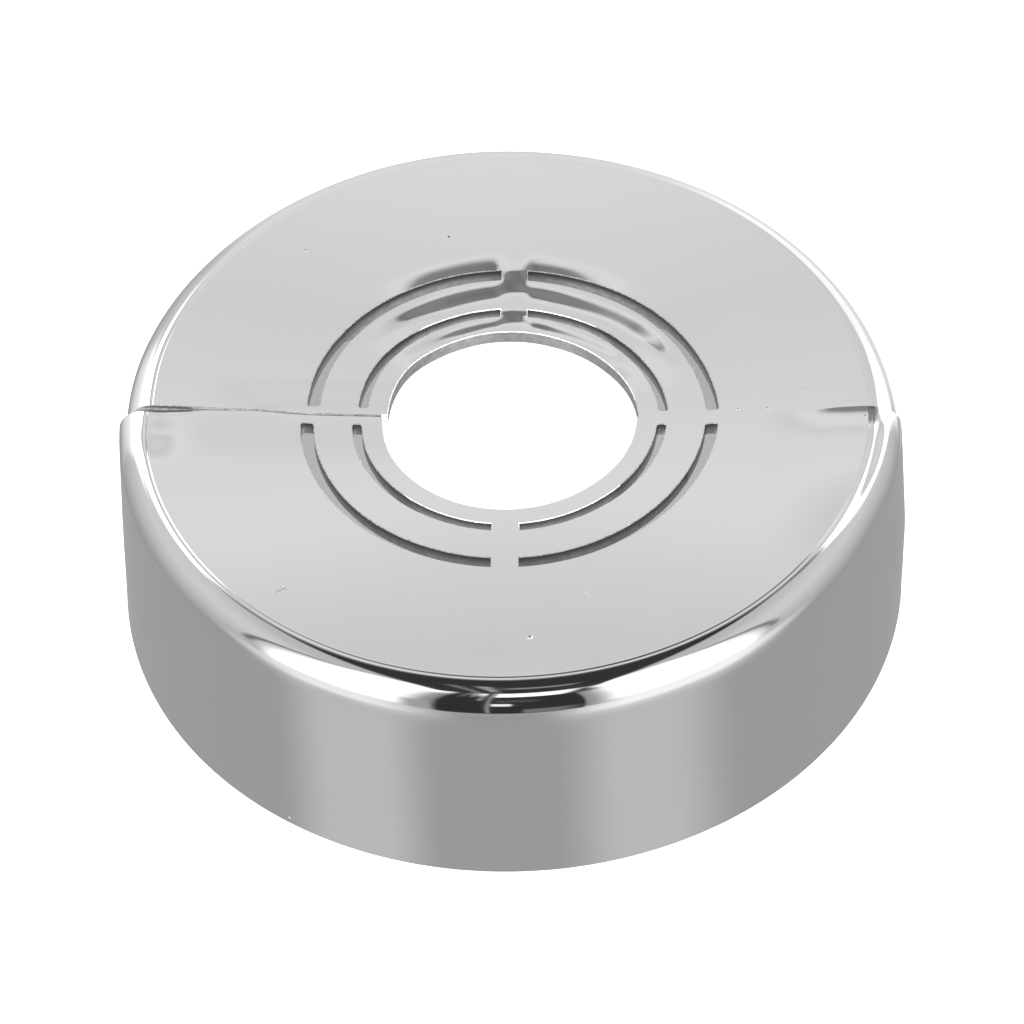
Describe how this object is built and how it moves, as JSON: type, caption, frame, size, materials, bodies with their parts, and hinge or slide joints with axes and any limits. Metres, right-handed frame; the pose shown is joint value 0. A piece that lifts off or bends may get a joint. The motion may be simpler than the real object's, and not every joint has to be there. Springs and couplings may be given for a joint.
{
  "type": "radiator pipe collar",
  "caption": "Low round cap with a dished top, a plain pipe bore and ring slots to break out for wider pipes, split across the bore so that it clips round a fitted pipe.",
  "frame": {"origin": "centre of the skirt's flat foot, on the pipe's axis, where the collar meets the wall or floor", "axes": "+Z along the pipe, away from the wall or floor; the seam between the halves runs along X; the front half is on the side of -Y"},
  "size_m": [0.07, 0.07, 0.0215],
  "materials": {
    "chrome_plating": "bright chrome plating on moulded plastic, mirror-smooth, with fine plating nibs and sink marks"
  },
  "bodies": {
    "rear": {"rear_half": "chrome_plating"},
    "front": {"front_half": "chrome_plating"}
  },
  "joints": [
    {"name": "front_pull", "type": "slide", "parent": "rear", "child": "front", "axis": [0, -1, 0], "range_m": [0, 0.04]}
  ]
}
